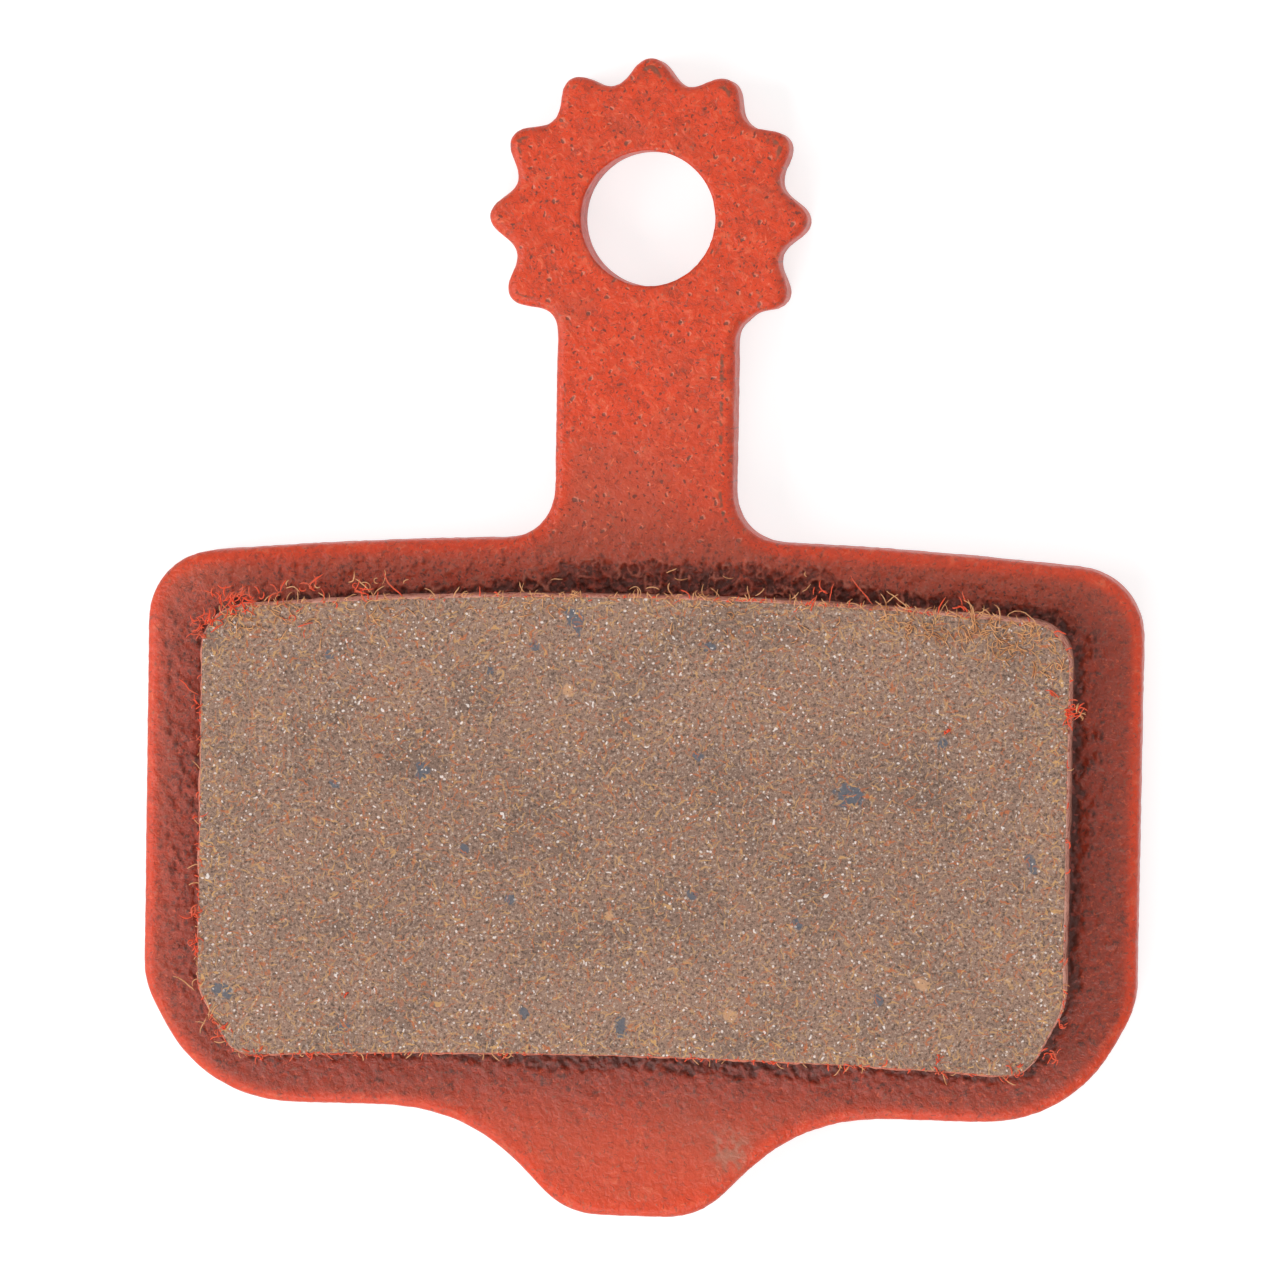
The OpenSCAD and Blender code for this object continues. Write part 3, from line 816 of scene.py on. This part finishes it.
def patches(x, y, places, seed):
    # ragged patches, 1 within them
    ragged = 0.35 * hills(x, y, 0.18, seed) + 0.2 * hills(x, y, 0.08, seed + 1)
    covered = np.zeros(len(x))
    for cx, cy, radius, tall in places:
        way = np.hypot(x - cx + 0.15 * (y - cy), (y - cy) / tall) / radius
        covered = np.maximum(covered, rise(1.15, 0.75, way + ragged))
    return covered


def blockRelief(points, normals):
    x, y, z = points.T
    face = np.clip(normals[:, 2], 0, 1) * (z > plateTop + 1)
    side = 1 - np.abs(normals[:, 2])
    grit = block["grit"] * (hills(x, y, 0.18, 20) + 0.7 * hills(x, y, 0.4, 21))
    rough = block["ragged"] * (0.7 * hills(x + y, z + x, 0.22, 22) + hills(x - y, z, 0.7, 23))
    gap, way = gapTo(points[:, :2], blockOutline)
    edge = rise(1.5, 0.1, 0.5 * hills(x, y, 0.8, 24) - gap)
    # painted shade that deepens towards the middle of the face
    middleShade = rise(0.8, 6.0, 1.2 * hills(x, y, 3.0, 26) - gap)
    marks = {"paleSheen": bySide(way, block["paleSheen"]), "edge": edge, "middleShade": middleShade,
             "graphite": patches(x, y, block["graphite"], 25), "tan": patches(x, y, block["tan"], 27)}
    return grit * face + rough * side, marks


def frictionFace():
    rng = np.random.default_rng(block["seed"])
    outer = evenLoop(blockOutline, block["step"], block["soften"])
    low, high = plateTop - block["sunk"], blockTop - block["edgeRoll"]
    levels = [(0, z) for z in np.linspace(low, high, block["wallRows"])[:-1]]
    wallRows = len(levels)
    levels += [(inset, blockTop - down) for inset, down in rolled(block["edgeRoll"], 3)]
    points = lattice(outer.min(0), outer.max(0), block["step"], block["jitter"], rng)
    points = points[-gapTo(points, outer)[0] > block["edgeRoll"] + block["margin"] * block["step"]]
    mesh = slab("frictionFace", [(outer, levels)], points, np.empty((0, 2)))
    pushOut(mesh, blockRelief)
    materials = [groundFrictionCompound(), oversprayedCompound()]
    addPiece("frictionFace", mesh, materials, blockNode)
    # overspray covers the wall's rows of faces and two of the three that roll over its edge
    oversprayed = np.zeros(len(mesh.polygons), np.int32)
    oversprayed[:(wallRows + 2) * len(outer)] = 1
    mesh.polygons.foreach_set("material_index", oversprayed)
    mesh.update()


frictionFace()

# The loose fibres

fibres = {
    "sides": 5,
    "points": 9,
    "headroom": 0.1,    # how high above the friction face a fibre may stand, mm
    "wobble": 0.14,     # of a fibre's heading from point to point, radians
    "rootStep": 0.05,   # between the places along the edge where a hair can stand, mm
    "paintedRadius": (0.013, 0.026),
    "brassRadius": (0.010, 0.020),
    "paintedLength": 0.17,
    "brassLength": 0.24,
    # their wire: clean colour, stained colour, roughness and metallic
    "paintedWire": ("#F05028", "#D96040", 0.5, 0.0),
    "brassWire": ("#E6A873", "#C27E4C", 0.4, 0.1),
    # hairs to a mm along the block's right, top, left and bottom sides
    "paintedHairs": (2.6, 3.5, 3.5, 4.5),
    "brassHairs": (1.6, 9.0, 1.4, 1.6),
    # clumps: across, up, spread, how many and how long
    "paintedTufts": [
        (-12.3, -11.75, 0.30, 34, 0.40), (-12.95, -12.3, 0.20, 20, 0.35), (-13.15, -12.75, 0.10, 10, 0.30),
        (-11.5, -11.6, 0.25, 12, 0.35), (-10.7, -11.45, 0.08, 5, 0.4), (-9.8, -11.3, 0.10, 7, 0.45),
        (-8.4, -11.3, 0.10, 7, 0.4), (-10.4, -12.3, 0.25, 5, 0.5), (5.5, -11.2, 0.05, 2, 0.45),
        (5.8, -11.1, 0.04, 2, 0.5), (9.8, -11.45, 0.12, 5, 0.45), (13.2, -14.55, 0.14, 12, 0.45),
        (13.0, -14.8, 0.12, 6, 0.4), (-13.2, -14.9, 0.06, 4, 0.3), (-13.15, -18.3, 0.05, 3, 0.25),
        (-13.25, -21.3, 0.10, 9, 0.35), (-13.2, -22.1, 0.08, 6, 0.3), (-12.3, -24.75, 0.10, 9, 0.3),
        (-11.3, -25.5, 0.12, 7, 0.25), (12.7, -24.8, 0.10, 12, 0.28), (13.1, -23.95, 0.05, 5, 0.2),
        (11.6, -25.25, 0.12, 7, 0.25), (9.45, -25.0, 0.06, 7, 0.16), (9.4, -25.45, 0.08, 6, 0.2),
        (-8.6, -23.6, 0.03, 5, 0.12), (9.5, -15.2, 0.03, 5, 0.12), (12.5, -13.9, 0.1, 3, 0.4),
    ],
    "brassTufts": [
        (10.6, -12.1, 0.45, 46, 0.6), (11.9, -12.5, 0.40, 34, 0.5), (9.0, -12.1, 0.60, 34, 0.5),
        (8.0, -11.7, 0.40, 16, 0.45), (-12.0, -12.3, 0.35, 24, 0.4), (-10.6, -11.9, 0.50, 34, 0.4),
        (-8.0, -11.8, 0.70, 26, 0.4), (-3.0, -11.7, 0.60, 22, 0.4), (2.5, -11.7, 1.20, 26, 0.35),
        (6.0, -11.8, 0.80, 20, 0.35), (12.7, -13.3, 0.20, 12, 0.4), (-12.9, -24.4, 0.15, 5, 0.6),
        (13.5, -14.6, 0.10, 8, 0.25),
    ],
    # single long hairs: across, up, heading in degrees, length and curl
    "paintedLong": [
        (7.2, -11.45, 128, 1.1, -0.04), (5.9, -11.4, 80, 0.6, 0.05), (-13.2, -14.6, 172, 0.75, 0.03),
        (-7.0, -11.5, 130, 0.9, 0.02),
    ],
    "brassLong": [
        (8.3, -11.6, 125, 0.9, -0.08), (10.5, -12.0, -75, 1.4, -0.07), (11.2, -11.75, 60, 1.3, -0.30),
        (10.0, -12.2, 20, 1.2, 0.30), (10.9, -12.4, 200, 1.3, 0.45), (-8.0, -11.4, 110, 0.6, 0.1),
        (-13.2, -23.6, 130, 0.8, 0.02), (7.6, -12.0, 70, 0.8, 0.15), (1.2, -11.5, 120, 0.4, 0.1),
    ],
    "seed": 31,
}


def tubes(name, paths, radii):
    # closed tubes along an array of paths (fibre, point, axis), all in one mesh
    count, n, _ = paths.shape
    ahead = unit(np.gradient(paths, axis=1))
    level = unit(np.cross(ahead, (0, 0, 1.0)))
    upright = np.cross(level, ahead)
    fromEnd = np.minimum(np.arange(n), np.arange(n)[::-1])
    width = radii[:, None] * np.minimum(1, 0.5 + 0.35 * fromEnd)
    turns = np.arange(fibres["sides"])[:, None] * 2 * math.pi / fibres["sides"]
    ring = level[:, :, None] * np.cos(turns) + upright[:, :, None] * np.sin(turns)
    verts = (paths[:, :, None] + width[:, :, None, None] * ring).reshape(-1, 3)
    verts[:, 2] = np.clip(verts[:, 2], plateTop, blockTop + fibres["headroom"])
    ids = np.arange(len(verts)).reshape(count, n, -1)
    beside = np.roll(ids, -1, 2)
    quads = np.stack([ids[:, :-1], ids[:, 1:], beside[:, 1:], beside[:, :-1]], -1).reshape(-1, 4).tolist()
    return newMesh(name, verts, quads + ids[:, 0].tolist() + ids[:, -1, ::-1].tolist())


def spring(start, heading, length, curl, lift, rng):
    # one fibre that leaves start on a heading in radians and bends as it goes
    n = fibres["points"]
    turns = heading + np.cumsum(rng.normal(curl, fibres["wobble"], n))
    steps = length / (n - 1) * np.stack([np.cos(turns), np.sin(turns)], 1)
    flat = start[:2] + np.vstack([[0, 0], np.cumsum(steps[:-1], 0)])
    return np.column_stack([flat, start[2] + lift * np.sin(np.linspace(0, 1, n) * math.pi * 0.8)])


def fringe(density, length, rng):
    # hairs that the grinding left standing out of the block's edge
    foot = evenLoop(blockOutline, fibres["rootStep"])
    way = outward(foot)
    thick = 0.4 + 1.2 * rise(-0.6, 0.6, hills(*foot.T, 1.1, 30))
    picked = rng.random(len(foot)) < fibres["rootStep"] * bySide(way, density) * thick
    hairs = []
    for (x, y), (across, up) in zip(foot[picked], way[picked]):
        start = (x - 0.08 * across, y - 0.08 * up, blockTop - rng.uniform(0.03, 0.08))
        heading = math.atan2(up, across) + rng.normal(0, 0.8)
        hairs.append(spring(start, heading, length * rng.lognormal(0, 0.45), rng.normal(0, 0.22), 0.04, rng))
    return hairs


def clumps(tufts, rng):
    # hairs that lie every way round in a tuft
    hairs = []
    for cx, cy, spread, count, length in tufts:
        for _ in range(count):
            x, y = rng.normal(cx, spread), rng.normal(cy, spread * 0.6)
            start = (x, y, blockTop - rng.uniform(0.0, 0.05))
            long = length * rng.uniform(0.5, 1.3)
            hairs.append(spring(start, rng.uniform(0, 7), long, rng.normal(0, 0.2), 0.06, rng))
    return hairs


def loneHairs(hairs, rng):
    return [spring((x, y, blockTop + 0.01), math.radians(angle), length, curl, 0.05, rng)
            for x, y, angle, length, curl in hairs]


def looseFibres():
    rng = np.random.default_rng(fibres["seed"])
    for kind in ("painted", "brass"):
        hairs, length, tufts, long, radius, wire = (
            fibres[kind + part] for part in ("Hairs", "Length", "Tufts", "Long", "Radius", "Wire"))
        paths = fringe(hairs, length, rng) + clumps(tufts, rng) + loneHairs(long, rng)
        mesh = tubes(kind + "Fibres", np.array(paths), rng.uniform(*radius, len(paths)))
        addPiece(kind + "Fibres", mesh, [choppedWire(kind + "Wire", *wire)])


looseFibres()

# The studio

studio = {
    "lens": 185.0,      # mm, as are the sensor's width and the camera's place
    "sensor": 36,
    "cameraFrom": (21.9, -2.6, 200.0),
    "roll": 0.93,       # degrees
    "clip": (0.01, 10),  # metres
    "distance": 0.36,   # of the soft boxes, metres
    "boxSize": 0.20,
    "world": 0.34,
    # the azimuth and elevation that the light comes from, and its share of the light on a flat card
    "lights": {"keyLeft": (190, 36, 0.27), "keyFront": (262, 36, 0.24), "fillRight": (15, 36, 0.08),
               "fillBack": (85, 36, 0.08), "top": (0, 88, 0.05)},
    "floor": "#B8B8B8",
    "floorLift": 0.72,
    "floorSize": 1.6,
}


def paleFloor():
    shape = bmesh.new()
    bmesh.ops.create_grid(shape, x_segments=8, y_segments=8, size=studio["floorSize"])
    mesh = bpy.data.meshes.new("floor")
    shape.to_mesh(mesh)
    shape.free()
    floor = bpy.data.objects.new("floor", mesh)
    bpy.context.scene.collection.objects.link(floor)
    material, tree = newMaterial("paperSweep")[:2]
    # the sweep is white to the eye, and grey to the light that would bounce off it onto the part
    rays = addNode(tree, "LightPath")
    seen = addNode(tree, "Math", {0: rays.outputs["Is Camera Ray"], 1: rays.outputs["Is Glossy Ray"]},
                   operation="ADD", use_clamp=True)
    lift = addNode(tree, "Math", {0: seen, 1: studio["floorLift"]}, operation="MULTIPLY")
    card = addNode(tree, "BsdfDiffuse", {"Color": linear(studio["floor"])})
    glow = addNode(tree, "Emission", {"Color": (1, 1, 1, 1), "Strength": lift})
    sweep = addNode(tree, "AddShader", {0: card, 1: glow})
    addNode(tree, "OutputMaterial", {"Surface": sweep})
    mesh.materials.append(material)
    print("floor: a white sweep")


def softLights():
    for name, (azimuth, elevation, share) in studio["lights"].items():
        a, e = math.radians(azimuth), math.radians(elevation)
        toward = Vector((math.cos(a) * math.cos(e), math.sin(a) * math.cos(e), math.sin(e)))
        lamp = bpy.data.lights.new(name, "AREA")
        lamp.size = studio["boxSize"]
        # this power keeps the lamp's share, however far off it is and however flat its light falls
        lamp.energy = math.pi ** 2 * share * studio["distance"] ** 2 / math.sin(e)
        light = bpy.data.objects.new(name, lamp)
        light.location = toward * studio["distance"]
        light.rotation_euler = toward.to_track_quat("Z", "Y").to_euler()
        light.visible_camera = False
        bpy.context.scene.collection.objects.link(light)
    world = bpy.data.worlds.new("studio")
    bpy.context.scene.world = world
    world.use_nodes = True
    tree = world.node_tree
    tree.nodes.clear()
    seen = addNode(tree, "LightPath").outputs["Is Camera Ray"]
    strength = addNode(tree, "MapRange", {"Value": seen, "To Min": studio["world"], "To Max": 1.0})
    sky = addNode(tree, "Background", {"Color": (1, 1, 1, 1), "Strength": strength})
    addNode(tree, "OutputWorld", {"Surface": sky})
    print(f"light: {len(studio['lights'])} soft boxes and a pale surround")


def camera():
    low, high = cadBox
    data = bpy.data.cameras.new("camera")
    data.lens, data.sensor_width = studio["lens"], studio["sensor"]
    data.clip_start, data.clip_end = studio["clip"]
    cam = bpy.data.objects.new("camera", data)
    cam.location = Vector(studio["cameraFrom"]) * mm
    back = (cam.location - (low + high) / 2).normalized()
    right = Vector((0, 1, 0)).cross(back).normalized()
    look = Matrix((right, back.cross(right), back)).transposed()
    cam.rotation_euler = (look @ Matrix.Rotation(math.radians(studio["roll"]), 3, "Z")).to_euler()
    bpy.context.scene.collection.objects.link(cam)
    bpy.context.scene.camera = cam
    print("camera: almost straight down")


paleFloor()
softLights()
camera()
bpy.context.scene.view_settings.view_transform = "Standard"
